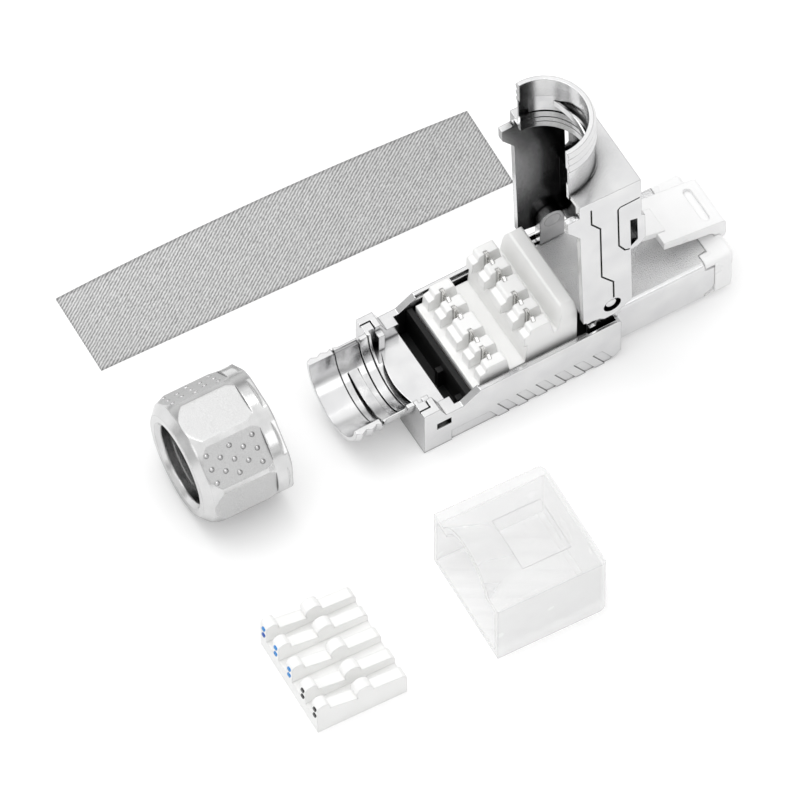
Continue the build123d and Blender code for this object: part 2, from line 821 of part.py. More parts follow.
# Circuit board: wide under the terminal block and narrow in the nose
with BuildPart() as circuit_board:
    with BuildSketch(level(board_bottom)):
        with Locations((block_start - 2 * board_gap, 0)):
            board_length = shell_start - block_start - 2 * board_gap
            Rectangle(board_length, block_width - 2 * board_gap, align=(Align.MIN, Align.CENTER))
        with Locations((block_start, 0)):
            Rectangle(board_front - block_start, nose_board_width, align=(Align.MIN, Align.CENTER))
    extrude(amount=board_sheet)
circuit_board.part.label = "circuit_board"
export_step(circuit_board.part, "parts/circuit_board.step")

# Insulating tray: black moulding that carries the board on two rails, with a wall behind the block
with BuildPart() as board_liner:
    liner_half = rail_inner - slide_gap
    with BuildSketch(level(floor)):
        with Locations((liner_start, 0)):
            Rectangle(shell_start - liner_start - 0.2, 2 * liner_half, align=(Align.MIN, Align.CENTER))
    extrude(amount=liner_sheet)
    with BuildSketch(level(floor)):
        for hand in (-1, 1):
            with Locations((liner_wall_x, hand * (liner_half - liner_rail_inset))):
                Rectangle(shell_start - liner_wall_x - 0.4, liner_rail, align=(Align.MIN, Align.CENTER))
    extrude(amount=board_bottom - floor)
    with BuildSketch(level(floor)):
        with Locations((liner_wall_x, 0)):
            Rectangle(liner_wall, 2 * liner_half, align=(Align.MIN, Align.CENTER))
    extrude(amount=liner_wall_top - floor)
    with BuildSketch(level(floor)):
        for nub_y in (-0.18 * liner_half, -0.82 * liner_half):
            with Locations((liner_wall_x - nub_reach, nub_y)):
                Rectangle(nub_reach + liner_wall / 2, 0.7, align=(Align.MIN, Align.CENTER))
    extrude(amount=liner_wall_top - floor - nub_drop)
board_liner.part.label = "board_liner"
export_step(board_liner.part, "parts/board_liner.step")

# Terminal block: a stepped moulding with rows of posts that guide the wires
front_level = rear_level + row_step
step_x = blade_row_x + 3.8
wall_x = blade_row_x + row_pitch + 2.4
wall_top = cover_low_top - cover_wall - 0.2
with BuildPart() as terminal_block:
    with BuildSketch(side(block_width / 2)):
        with BuildLine():
            Polyline(
                (block_start, board_top),
                (block_start, rear_level),
                (step_x, rear_level),
                (step_x + 0.3, front_level),
                (wall_x, front_level),
                (wall_x + 0.7, wall_top),
                (block_end, wall_top),
                (block_end, board_top),
                close=True,
            )
        make_face()
    extrude(amount=block_width)
    ridge = terminal_block.edges().filter_by(Axis.Y).group_by(Axis.Z)[-1]
    fillet(ridge, radius=0.3)
    # Posts stand on both sides of each wire, and the middle ones are the widest
    gap = wire_slot / 2
    post_bands = (
        (-block_width / 2, -blade_y_outer - gap),
        (-blade_y_outer + gap, -blade_y_inner - gap),
        (-blade_y_inner + gap, blade_y_inner - gap),
        (blade_y_inner + gap, blade_y_outer - gap),
        (blade_y_outer + gap, block_width / 2),
    )
    for row in (0, 1):
        foot = rear_level + row * row_step
        centre = blade_row_x + row * row_pitch
        for low, high in post_bands:
            with BuildSketch(side(high)):
                with BuildLine():
                    Polyline(
                        (centre - 1.8, foot),
                        (centre - 1.7, foot + post_step_rise),
                        (centre - 1.7 + post_step_length, foot + post_step_rise + 0.25),
                        (centre - 1.6 + post_step_length, foot + post_rise),
                        (centre + 1.5, foot + post_rise),
                        (centre + 1.9, foot),
                        close=True,
                    )
                make_face()
            extrude(amount=high - low)
        tops = terminal_block.faces().filter_by(Axis.Z).filter_by_position(
            Axis.Z, foot + post_rise - 0.01, foot + post_rise + 0.01
        )
        fillet(tops.edges().filter_by(Axis.Y), radius=0.3)
    # The ends of the front wall drop in a curve beside the closed cover
    for hand in (-1, 1):
        with BuildSketch(across(wall_x)):
            outer_y = hand * block_width / 2
            inner_y = outer_y - hand * end_width
            with BuildLine():
                low = (outer_y, wall_top - end_drop)
                high = (inner_y, wall_top)
                ThreePointArc(low, (outer_y - hand * end_width * 0.4, wall_top - end_drop * 0.35), high)
                clear_y = outer_y + hand
                Polyline(high, (inner_y, wall_top + 1), (clear_y, wall_top + 1), (clear_y, low[1]), low)
            make_face()
        extrude(amount=block_end - wall_x + 1, mode=Mode.SUBTRACT)
    # Slots that hold the blades
    for row in (0, 1):
        with BuildSketch(level(board_top)):
            for blade_y in (-blade_y_outer, -blade_y_inner, blade_y_inner, blade_y_outer):
                with Locations((blade_row_x + row * row_pitch, blade_y)):
                    Rectangle(blade_sheet + slide_gap, blade_width + slide_gap)
        extrude(amount=rear_level + row * row_step + post_rise, mode=Mode.SUBTRACT)
terminal_block.part.label = "terminal_block"
export_step(terminal_block.part, "parts/terminal_block.step")

# Blades: forked contacts that stand on the board and cut through each wire's insulation
number = 0
for row in (0, 1):
    for blade_y in (-blade_y_outer, -blade_y_inner, blade_y_inner, blade_y_outer):
        number += 1
        blade_top = rear_level + row * row_step + post_rise + blade_rise
        with BuildPart() as wire_blade:
            with BuildSketch(across(blade_row_x + row * row_pitch - blade_sheet / 2)):
                with BuildLine():
                    Polyline(
                        (blade_y - blade_width / 2, board_top),
                        (blade_y + blade_width / 2, board_top),
                        (blade_y + blade_width / 2, blade_top - 0.4),
                        (blade_y + blade_width / 4, blade_top),
                        (blade_y + fork_slot / 2, blade_top - 0.5),
                        (blade_y + fork_slot / 2, blade_top - 2.4),
                        (blade_y - fork_slot / 2, blade_top - 2.4),
                        (blade_y - fork_slot / 2, blade_top - 0.5),
                        (blade_y - blade_width / 4, blade_top),
                        (blade_y - blade_width / 2, blade_top - 0.4),
                        close=True,
                    )
                make_face()
            extrude(amount=blade_sheet)
        wire_blade.part.label = f"wire_blade_{number}"
        export_step(wire_blade.part, f"parts/wire_blade_{number}.step")


# Gland nut: eight flats, a turned shoulder at the cable end and a round collar at the thread. It
# lies on the collar and on the shoulder's end of one flat.
nut_half = nut_across_flats / 2
nut_radius = nut_half / cos(radians(180 / nut_flats))
turned_radius = nut_radius - 0.15
collar_radius = nut_half + collar_step
collar_start = nut_length - collar_length
thread_bore = ring_outer + thread_depth + slide_gap
nut_tip = atan2(collar_step, collar_start - nut_shoulder)
nut_plane = loose(nut_place, nut_half * cos(nut_tip) - nut_shoulder * sin(nut_tip), nut_tip)
nut_axis = Axis(tuple(nut_plane.origin), tuple(nut_plane.x_dir))
with BuildPart() as gland_nut:
    with BuildSketch(turned(nut_plane)):
        RegularPolygon(radius=nut_radius, side_count=nut_flats, rotation=180 / nut_flats)
    extrude(amount=nut_length)
    with BuildSketch(beside(nut_plane)):
        with BuildLine():
            Polyline(
                (0, 0),
                (0, nut_half - 1),
                (nut_shoulder, nut_half),
                (nut_shoulder + 1.2, turned_radius),
                (collar_start - 0.8, turned_radius),
                (collar_start, collar_radius),
                (nut_length, collar_radius),
                (nut_length, 0),
                close=True,
            )
        make_face()
    revolve(axis=nut_axis, mode=Mode.INTERSECT)
    with BuildSketch(beside(nut_plane)):
        with BuildLine():
            Polyline(
                (collar_start, 0),
                (collar_start, collar_radius),
                (nut_length - collar_round, collar_radius),
                (nut_length, collar_radius - collar_round),
                (nut_length, 0),
                close=True,
            )
        make_face()
    revolve(axis=nut_axis)
    with BuildSketch(beside(nut_plane)):
        with BuildLine():
            Polyline(
                (0, 0),
                (0, nut_cable_hole + 0.5),
                (0.5, nut_cable_hole),
                (nut_lip, nut_cable_hole),
                (nut_lip + 1, thread_bore),
                (nut_length - 0.4, thread_bore),
                (nut_length, thread_bore + 0.4),
                (nut_length, 0),
                close=True,
            )
        make_face()
    revolve(axis=nut_axis, mode=Mode.SUBTRACT)
gland_nut.part.label = "gland_nut"
export_step(gland_nut.part, "parts/gland_nut.step")

# Wire organiser: a comb with five ribs that stand up as it lies
organiser_plane = loose(organiser_place)
with BuildPart() as wire_organiser:
    with BuildSketch(organiser_plane):
        Rectangle(organiser_length, organiser_width, align=(Align.MIN, Align.CENTER))
    extrude(amount=organiser_floor)
    outer_rib = (organiser_width - organiser_rib) / 2
    for rib_y in (-outer_rib, -outer_rib * 0.53, 0, outer_rib * 0.53, outer_rib):
        with BuildSketch(beside(organiser_plane, rib_y + organiser_rib / 2)):
            with BuildLine():
                middle_end = middle_start + middle_run
                rib_foot = organiser_floor / 2
                Polyline((0, rib_foot), (0, hump_top_height - 0.6))
                ThreePointArc(
                    (0, hump_top_height - 0.6), (hump_run * 0.4, hump_top_height), (hump_run, rear_saddle)
                )
                Line((hump_run, rear_saddle), (middle_start, middle_saddle))
                ThreePointArc(
                    (middle_start, middle_saddle),
                    (middle_start + middle_run * 0.5, hump_top_height - 0.1),
                    (middle_end, front_saddle),
                )
                Polyline(
                    (middle_end, front_saddle),
                    (organiser_length - 0.4, front_saddle - 0.3),
                    (organiser_length, front_saddle - 0.7),
                    (organiser_length, rib_foot),
                    (0, rib_foot),
                )
            make_face()
        extrude(amount=organiser_rib)
wire_organiser.part.label = "wire_organiser"
export_step(wire_organiser.part, "parts/wire_organiser.step")

# Dust cap: a clear box open at its rear end, with a vault over the latch
cap_plane = loose(cap_place)
with BuildPart() as dust_cap:
    with BuildSketch(cap_plane):
        Rectangle(cap_length, cap_width, align=(Align.MIN, Align.CENTER))
    extrude(amount=cap_height)
    closed_end = dust_cap.faces().sort_by(Axis.X)[-1]
    fillet(closed_end.edges(), radius=cap_corner)
    vault_ends = (
        (turned(cap_plane), vault_width, vault_rise),
        (turned(cap_plane, vault_length), vault_end_width, 0.15),
    )
    for plane, width, rise in vault_ends:
        with BuildSketch(plane):
            with BuildLine():
                ThreePointArc((-width / 2, cap_height), (0, cap_height + rise), (width / 2, cap_height))
                Polyline(
                    (width / 2, cap_height),
                    (width / 2, cap_height - cap_wall),
                    (-width / 2, cap_height - cap_wall),
                    (-width / 2, cap_height),
                )
            make_face()
    loft()
    with BuildSketch(turned(cap_plane)):
        with Locations((0, cap_height / 2)):
            RectangleRounded(cap_width - 2 * cap_wall, cap_height - 2 * cap_wall, radius=0.4)
    extrude(amount=cap_length - cap_wall, mode=Mode.SUBTRACT)
    for plane, width, rise in vault_ends:
        inner = width - 2 * cap_wall
        with BuildSketch(plane):
            with BuildLine():
                crown = cap_height + rise - cap_wall
                spring = cap_height - cap_wall
                ThreePointArc((-inner / 2, spring), (0, crown), (inner / 2, spring))
                Polyline(
                    (inner / 2, spring),
                    (inner / 2, spring - 1),
                    (-inner / 2, spring - 1),
                    (-inner / 2, spring),
                )
            make_face()
    loft(mode=Mode.SUBTRACT)
    # Shallow panel on the roof, where the latch lies
    with BuildSketch(cap_plane.offset(cap_height)):
        with Locations((vault_length, 0)):
            Rectangle(panel_length, panel_width, align=(Align.MIN, Align.CENTER))
    extrude(amount=-panel_depth, mode=Mode.SUBTRACT)
dust_cap.part.label = "dust_cap"
export_step(dust_cap.part, "parts/dust_cap.step")

# Screening tape: a flat woven strip whose far edge lifts a little along its middle
tape_plane = loose(tape_place)
with BuildPart() as screen_tape:
    for out, bow in ((-tape_width / 2, 0.02), (tape_width / 2, tape_bow)):
        with BuildSketch(beside(tape_plane, out)):
            with BuildLine():
                reach = tape_length / 2
                ThreePointArc((-reach, 0), (0, bow), (reach, 0))
                Line((reach, 0), (reach, tape_sheet))
                ThreePointArc((reach, tape_sheet), (0, tape_sheet + bow), (-reach, tape_sheet))
                Line((-reach, tape_sheet), (-reach, 0))
            make_face()
    loft(ruled=True)
screen_tape.part.label = "screen_tape"
export_step(screen_tape.part, "parts/screen_tape.step")
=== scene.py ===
import math

import bmesh
import bpy
from mathutils import Matrix, Vector


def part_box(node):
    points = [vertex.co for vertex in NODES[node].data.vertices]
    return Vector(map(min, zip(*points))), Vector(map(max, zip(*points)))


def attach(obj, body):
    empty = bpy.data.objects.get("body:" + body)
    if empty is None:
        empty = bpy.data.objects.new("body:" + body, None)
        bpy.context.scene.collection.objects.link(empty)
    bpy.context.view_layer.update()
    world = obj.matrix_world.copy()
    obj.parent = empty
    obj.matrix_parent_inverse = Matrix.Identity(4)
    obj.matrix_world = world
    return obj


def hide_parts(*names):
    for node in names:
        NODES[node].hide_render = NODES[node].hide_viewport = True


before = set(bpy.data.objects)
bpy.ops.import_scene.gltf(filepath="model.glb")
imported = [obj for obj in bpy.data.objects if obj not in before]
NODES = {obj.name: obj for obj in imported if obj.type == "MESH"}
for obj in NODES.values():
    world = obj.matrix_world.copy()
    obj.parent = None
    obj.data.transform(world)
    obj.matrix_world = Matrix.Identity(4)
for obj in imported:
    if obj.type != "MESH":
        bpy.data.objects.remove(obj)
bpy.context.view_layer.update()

# A shielded plug for network cable with its cover open, and the pieces that go with it, laid out
# on a white table. Lengths in this script are millimetres, unless a comment says metres.
MM = 0.001
UP = Vector((0.0, 0.0, 1.0))

# The loose pieces are turned by this angle from the plug, which gives their two directions
LOOSE_TURN = math.radians(-2.0)
ALONG = Vector((math.cos(LOOSE_TURN), math.sin(LOOSE_TURN), 0.0))
ASIDE = Vector((-math.sin(LOOSE_TURN), math.cos(LOOSE_TURN), 0.0))

# Gland nut as it lies: its axis from the cable end to the thread, the directions across it, half
# its width across flats, and how far along the axis the flats end
NUT_TIP = math.radians(2.09)
NUT_START = Vector((-37.6, 1.0, 6.913))
NUT_AXIS = ALONG * math.cos(NUT_TIP) + UP * math.sin(NUT_TIP)
NUT_RISE = UP * math.cos(NUT_TIP) - ALONG * math.sin(NUT_TIP)
NUT_HALF = 6.95
NUT_FLATS_END = 8.25

# Wire organiser: its rear edge, and the ribs that carry a pair of colour marks each
ORGANISER_START = Vector((-39.2, -25.1, 0.0))
RIB_PLACES = (5.66, 3.0, 0.0, -3.0, -5.66)

# Noise keeps mostly between these two values, which are spread over the whole range
NOISE_LOW, NOISE_HIGH = 0.3, 0.7
# How far from an edge the line of painted shade along it reaches
EDGE_SHADE_REACH = 0.07


def linear(hex_colour):
    """Linear colour of an sRGB hex value, with full alpha."""
    parts = [int(hex_colour[i : i + 2], 16) / 255 for i in (1, 3, 5)]
    parts = [p / 12.92 if p <= 0.04045 else ((p + 0.055) / 1.055) ** 2.4 for p in parts]
    return (*parts, 1.0)


def per_mm(size):
    """Texture scale at which one cell of a pattern is this many millimetres across."""
    return 1.0 / (size * MM)


def add(tree, kind, inputs=None, **settings):
    """Adds a node. Settings are its properties; an input is a value or the socket that feeds it."""
    made = tree.nodes.new(kind)
    for name, value in settings.items():
        setattr(made, name, value)
    for name, value in (inputs or {}).items():
        if isinstance(value, bpy.types.NodeSocket):
            tree.links.new(value, made.inputs[name])
        else:
            made.inputs[name].default_value = value
    return made


def start_material(name, **sockets):
    """A material whose shader has its own sockets set, and the place on the object in metres."""
    material = bpy.data.materials.new(name)
    material.use_nodes = True
    tree = material.node_tree
    tree.nodes.clear()
    shader = add(tree, "ShaderNodeBsdfPrincipled", sockets)
    add(tree, "ShaderNodeOutputMaterial", {"Surface": shader.outputs["BSDF"]})
    place = add(tree, "ShaderNodeTexCoord").outputs["Object"]
    return material, tree, shader, place


def surface(start, colours, roughness, wander, grain, depth, edge, edge_shade=None):
    """Colour and roughness wander between two values over a distance, under a grain of a given size
    and depth. Edges look rounded by a radius, and painted shade follows them as a line of the named
    colour."""
    material, tree, shader, place = start
    inputs = {"Vector": place, "Scale": per_mm(wander), "Detail": 2.0}
    drift = add(tree, "ShaderNodeTexNoise", inputs)
    inputs = {"Vector": place, "Scale": per_mm(grain), "Detail": 3.0}
    skin = add(tree, "ShaderNodeTexNoise", inputs)
    inputs = {"Value": drift.outputs[0], "From Min": NOISE_LOW, "From Max": NOISE_HIGH}
    share = add(tree, "ShaderNodeMapRange", inputs)
    inputs = {0: share.outputs[0], 6: linear(colours[0]), 7: linear(colours[1])}
    colour = add(tree, "ShaderNodeMix", inputs, data_type="RGBA")
    inputs = {"Value": share.outputs[0], "To Min": roughness[0], "To Max": roughness[1]}
    rough = add(tree, "ShaderNodeMapRange", inputs)
    corner = add(tree, "ShaderNodeBevel", {"Radius": edge * MM}, samples=6)
    inputs = {
        "Height": skin.outputs[0],
        "Distance": depth * MM,
        "Strength": 0.5,
        "Normal": corner.outputs[0],
    }
    bump = add(tree, "ShaderNodeBump", inputs)
    tree.links.new(colour.outputs[2], shader.inputs["Base Color"])
    tree.links.new(rough.outputs[0], shader.inputs["Roughness"])
    tree.links.new(bump.outputs[0], shader.inputs["Normal"])
    if edge_shade:
        # Painted shade along the edges: an edge is near where the rounded direction of the surface
        # leaves its own by some degrees
        rounded = add(tree, "ShaderNodeBevel", {"Radius": EDGE_SHADE_REACH * MM}, samples=6).outputs[0]
        own = add(tree, "ShaderNodeNewGeometry").outputs["Normal"]
        inputs = {0: rounded, 1: own}
        agree = add(tree, "ShaderNodeVectorMath", inputs, operation="DOT_PRODUCT").outputs["Value"]
        inputs = {"Value": agree, "From Min": 0.9, "From Max": 0.99}
        away = add(tree, "ShaderNodeMapRange", inputs).outputs[0]
        inputs = {0: away, 6: linear(edge_shade), 7: colour.outputs[2]}
        edge_shaded = add(tree, "ShaderNodeMix", inputs, data_type="RGBA")
        tree.links.new(edge_shaded.outputs[2], shader.inputs["Base Color"])
    return material


def paint_shade_in_hollows(material, reach, dark, shut, clear):
    """Paints shade into hollows narrower than a given reach by darkening their colour: in full
    where less than the share shut of the view is open, and not at all from clear on."""
    tree = material.node_tree
    shader = next(node for node in tree.nodes if node.type == "BSDF_PRINCIPLED")
    plate = shader.inputs["Base Color"].links[0].from_socket
    hollow = add(tree, "ShaderNodeAmbientOcclusion", {"Distance": reach * MM}, samples=8)
    inputs = {"Value": hollow.outputs["AO"], "From Min": shut, "From Max": clear}
    share = add(tree, "ShaderNodeMapRange", inputs, interpolation_type="SMOOTHSTEP")
    inputs = {0: share.outputs[0], 6: linear(dark), 7: plate}
    colour = add(tree, "ShaderNodeMix", inputs, data_type="RGBA")
    tree.links.new(colour.outputs[2], shader.inputs["Base Color"])
    return material


def plated_zinc(name, reach, shut, clear):
    """Zinc die casting, bright nickel plate: mirror-like, softened a little by the cast skin, with
    painted shade darkening its colour deep inside and along its edges."""
    skin = surface(
        start_material(name, Metallic=1.0),
        colours=("#dcdcdd", "#e6e6e6"),
        roughness=(0.17, 0.24),
        wander=3.0,
        grain=0.1,
        depth=0.006,
        edge=0.12,
        # Painted shade along the edges
        edge_shade="#606061",
    )
    # Painted shade in the narrow grooves of the thread first, then in the broad inside
    paint_shade_in_hollows(skin, reach=0.6, dark="#2a2a2b", shut=0.3, clear=0.85)
    return paint_shade_in_hollows(skin, reach=reach, dark="#161617", shut=shut, clear=clear)


def on_nut_flats(tree, place):
    """A value that is one on the nut's eight flats and nought on its other surfaces."""
    to_nut = NODES["gland_nut"].matrix_world.inverted()
    inputs = {0: place, 1: to_nut @ (NUT_START * MM)}
    spot = add(tree, "ShaderNodeVectorMath", inputs, operation="SUBTRACT").outputs[0]
    # A flat is where the furthest reach toward any side is the half width. Each direction counts
    # both ways, so four of them make the eight sides.
    furthest = None
    for eighth in range(4):
        angle = math.radians(45 * eighth)
        side = to_nut.to_3x3() @ (NUT_RISE * math.cos(angle) + ASIDE * math.sin(angle))
        inputs = {0: spot, 1: side}
        toward = add(tree, "ShaderNodeVectorMath", inputs, operation="DOT_PRODUCT").outputs["Value"]
        reach = add(tree, "ShaderNodeMath", {0: toward}, operation="ABSOLUTE").outputs[0]
        if furthest:
            inputs = {0: furthest, 1: reach}
            reach = add(tree, "ShaderNodeMath", inputs, operation="MAXIMUM").outputs[0]
        furthest = reach
    tolerance = 0.02
    inputs = {0: furthest, 1: NUT_HALF * MM, 2: tolerance * MM}
    flat = add(tree, "ShaderNodeMath", inputs, operation="COMPARE").outputs[0]
    inputs = {0: spot, 1: to_nut.to_3x3() @ NUT_AXIS}
    along = add(tree, "ShaderNodeVectorMath", inputs, operation="DOT_PRODUCT").outputs["Value"]
    inputs = {0: along, 1: NUT_FLATS_END * MM}
    before_end = add(tree, "ShaderNodeMath", inputs, operation="LESS_THAN").outputs[0]
    inputs = {0: flat, 1: before_end}
    return add(tree, "ShaderNodeMath", inputs, operation="MULTIPLY").outputs[0]


def satin_nickel():
    """Brass nut, turned and nickel plated: bright lands and collar round eight blasted flats, whose
    grain is dull beside them."""
    start = start_material("satin_nickel", Metallic=1.0)
    material, tree, shader, place = start
    surface(
        start,
        colours=("#d0d0d0", "#dddddd"),
        roughness=(0.14, 0.2),
        wander=2.0,
        grain=0.1,
        depth=0.006,
        edge=0.3,
        # Painted shade along the edges
        edge_shade="#5c5c5d",
    )
    blasted = on_nut_flats(tree, place)
    # Pits of the blasting: their size and depth, and how rough they leave the metal
    pit_size, pit_depth, pit_roughness = 0.09, 0.012, 0.46
    inputs = {"Vector": place, "Scale": per_mm(pit_size), "Detail": 2.0}
    pits = add(tree, "ShaderNodeTexNoise", inputs).outputs[0]
    inputs = {"Value": pits, "From Min": NOISE_LOW, "From Max": NOISE_HIGH}
    share = add(tree, "ShaderNodeMapRange", inputs).outputs[0]
    inputs = {0: share, 6: linear("#c0c0c0"), 7: linear("#d6d6d6")}
    dull = add(tree, "ShaderNodeMix", inputs, data_type="RGBA").outputs[2]
    names = ("Base Color", "Roughness", "Normal")
    bright = {name: shader.inputs[name].links[0].from_socket for name in names}
    inputs = {0: blasted, 6: bright["Base Color"], 7: dull}
    colour = add(tree, "ShaderNodeMix", inputs, data_type="RGBA").outputs[2]
    inputs = {0: blasted, 2: bright["Roughness"], 3: pit_roughness}
    rough = add(tree, "ShaderNodeMix", inputs).outputs[0]
    inputs = {"Height": pits, "Distance": pit_depth * MM, "Strength": blasted}
    bump = add(tree, "ShaderNodeBump", inputs | {"Normal": bright["Normal"]}).outputs[0]
    tree.links.new(colour, shader.inputs["Base Color"])
    tree.links.new(rough, shader.inputs["Roughness"])
    tree.links.new(bump, shader.inputs["Normal"])
    # Painted shade darkens the colour inside the bore and in the hollows
    return paint_shade_in_hollows(material, reach=9.0, dark="#121213", shut=0.3, clear=0.75)


def grained_sheet():
    """Nickel-plated sheet: its broad top keeps the coarse grain of the roll, which breaks the light
    into specks, and its sides are ironed smooth."""
    start = start_material("grained_sheet", Metallic=1.0)
    material, tree, shader, place = start
    surface(
        start,
        colours=("#e0e0e1", "#e9e9e9"),
        roughness=(0.2, 0.26),
        wander=2.5,
        grain=0.08,
        depth=0.0015,
        edge=0.3,
        # Painted shade along the edges
        edge_shade="#7c7c7d",
    )
    # The broad top is what faces up within 18 degrees
    facing = add(tree, "ShaderNodeNewGeometry").outputs["True Normal"]
    upward = add(tree, "ShaderNodeSeparateXYZ", {0: facing}).outputs["Z"]
    inputs = {0: upward, 1: 0.95}
    broad = add(tree, "ShaderNodeMath", inputs, operation="GREATER_THAN").outputs[0]
    # Specks of the roll: their size and depth, and how rough they leave the metal
    speck_size, speck_depth, speck_roughness = 0.13, 0.12, 0.36
    inputs = {"Vector": place, "Scale": per_mm(speck_size), "Detail": 3.0}
    specks = add(tree, "ShaderNodeTexNoise", inputs).outputs[0]
    names = ("Roughness", "Normal")
    ironed = {name: shader.inputs[name].links[0].from_socket for name in names}
    inputs = {0: broad, 2: ironed["Roughness"], 3: speck_roughness}
    rough = add(tree, "ShaderNodeMix", inputs).outputs[0]
    inputs = {"Height": specks, "Distance": speck_depth * MM, "Strength": broad}
    bump = add(tree, "ShaderNodeBump", inputs | {"Normal": ironed["Normal"]}).outputs[0]
    tree.links.new(rough, shader.inputs["Roughness"])
    tree.links.new(bump, shader.inputs["Normal"])
    return material


def spring_strip():
    """Spring steel strip, bright rolled: clean sharp reflections."""
    skin = surface(
        start_material("spring_strip", Metallic=1.0),
        colours=("#cfcfd0", "#e2e2e2"),
        roughness=(0.14, 0.2),
        wander=1.2,
        grain=0.1,
        depth=0.004,
        edge=0.04,
        # Painted shade along the edges
        edge_shade="#6a6a6b",
    )
    # Painted shade darkens the colour in the hollows
    return paint_shade_in_hollows(skin, reach=3.0, dark="#2c2c2d", shut=0.12, clear=0.55)


def tinned_blade():
    """Tinned phosphor bronze, stamped: bright round shoulders over a dull flank."""
    return surface(
        start_material("tinned_blade", Metallic=1.0),
        colours=("#cfcecc", "#f0f0ee"),
        roughness=(0.14, 0.22),
        wander=0.3,
        grain=0.12,
        depth=0.005,
        edge=0.14,
    )


def gilt_contact():
    """Gold flash over nickel on stamped contacts: warm and bright, a little uneven."""
    return surface(
        start_material("gilt_contact", Metallic=1.0),
        colours=("#cfa65a", "#e3c27c"),
        roughness=(0.18, 0.3),
        wander=0.4,
        grain=0.1,
        depth=0.006,
        edge=0.06,
    )


def white_polyester():
    """Glass-filled polyester, moulded white: matt, with a fine spark-eroded skin."""
    return surface(
        start_material("white_polyester", IOR=1.55),
        colours=("#f6f6f5", "#fafaf9"),
        roughness=(0.42, 0.5),
        wander=4.0,
        grain=0.14,
        depth=0.008,
        edge=0.22,
    )


def black_polyester():
    """The same polyester moulded black: deep, with a soft grey sheen along its ribs."""
    return surface(
        start_material("black_polyester", **{"IOR": 1.55, "Specular IOR Level": 0.3}),
        colours=("#050505", "#090909"),
        roughness=(0.42, 0.5),
        wander=2.0,
        grain=0.16,
        depth=0.006,
        edge=0.14,
    )


def milky_polycarbonate():
    """Milky polycarbonate from a polished mould: white, with a soft gloss."""
    return surface(
        start_material("milky_polycarbonate", IOR=1.58),
        colours=("#f7f7f7", "#fbfbfb"),
        roughness=(0.26, 0.34),
        wander=3.0,
        grain=0.3,
        depth=0.004,
        edge=0.18,
    )


def clear_polypropylene():
    """Clear polypropylene, thin moulding: a pale haze, closer to white where a wall turns away."""
    start = start_material("clear_polypropylene", IOR=1.49)
    material, tree, shader, _ = start
    surface(
        start,
        colours=("#f6f6f6", "#fafafa"),
        roughness=(0.2, 0.28),
        wander=3.0,
        grain=0.6,
        depth=0.006,
        edge=0.3,
        # Painted shade along the edges, in grey
        edge_shade="#a8a8a8",
    )
    turn = add(tree, "ShaderNodeLayerWeight", {"Blend": 0.35}).outputs["Facing"]
    haze = add(tree, "ShaderNodeMapRange", {"Value": turn, "To Min": 0.14, "To Max": 0.72})
    tree.links.new(haze.outputs[0], shader.inputs["Alpha"])
    return material


def solder_mask():
    """Circuit board under black solder mask: a thin gloss over the weave of the glass."""
    return surface(
        start_material("solder_mask", **{"IOR": 1.5, "Coat Weight": 0.4}),
        colours=("#0b0c0b", "#151715"),
        roughness=(0.3, 0.4),
        wander=0.5,
        grain=0.3,
        depth=0.01,
        edge=0.05,
    )


def pad_print(name, thin, full):
    """Pad-printed ink: a thin film, matt as the plastic under it and paler where it is thin."""
    return surface(
        start_material(name, **{"IOR": 1.5, "Specular IOR Level": 0.3}),
        colours=(thin, full),
        roughness=(0.4, 0.5),
        wander=0.4,
        grain=0.2,
        depth=0.003,
        edge=0.02,
    )


def conductive_cloth():
    """Nickel-plated polyester twill on an adhesive backing: a matt metal cloth with diagonal ribs,
    broken here and there by its picks."""
    material, tree, shader, place = start_material("conductive_cloth", Metallic=0.5)
    # The real ribs are finer than the picture can show, so they are drawn 0.316 mm apart
    rib, rib_turn = 0.316, math.radians(-123.4)
    fuzz_size, fuzz_share, weave_depth = 0.2, 0.6, 0.04
    inputs = {"Vector": place, "Rotation": (0.0, 0.0, rib_turn)}
    turned = add(tree, "ShaderNodeMapping", inputs).outputs[0]
    # Waves repeat every 2 pi / 20 of a unit at scale 1
    inputs = {
        "Vector": turned,
        "Scale": 2 * math.pi / 20 * per_mm(rib),
        "Distortion": 1.6,
        "Detail": 2.0,
        "Detail Scale": 2.5,
    }
    ribs = add(tree, "ShaderNodeTexWave", inputs).outputs["Fac"]
    # The fuzz is drawn out along the ribs, as the picks are
    inputs = {"Vector": turned, "Scale": (1.0, 0.6, 1.0)}
    picks = add(tree, "ShaderNodeMapping", inputs).outputs[0]
    inputs = {"Vector": picks, "Scale": per_mm(fuzz_size), "Detail": 2.0}
    fuzz = add(tree, "ShaderNodeTexNoise", inputs).outputs[0]
    weave = add(tree, "ShaderNodeMix", {0: fuzz_share, 2: ribs, 3: fuzz}).outputs[0]
    inputs = {"Value": weave, "From Min": 0.25, "From Max": 0.72}
    share = add(tree, "ShaderNodeMapRange", inputs).outputs[0]
    inputs = {0: share, 6: linear("#888888"), 7: linear("#d2d2d2")}
    colour = add(tree, "ShaderNodeMix", inputs, data_type="RGBA").outputs[2]
    inputs = {"Value": share, "To Min": 0.6, "To Max": 0.5}
    rough = add(tree, "ShaderNodeMapRange", inputs).outputs[0]
    inputs = {"Height": weave, "Distance": weave_depth * MM, "Strength": 0.5}
    bump = add(tree, "ShaderNodeBump", inputs).outputs[0]
    tree.links.new(colour, shader.inputs["Base Color"])
    tree.links.new(rough, shader.inputs["Roughness"])
    tree.links.new(bump, shader.inputs["Normal"])
    return material


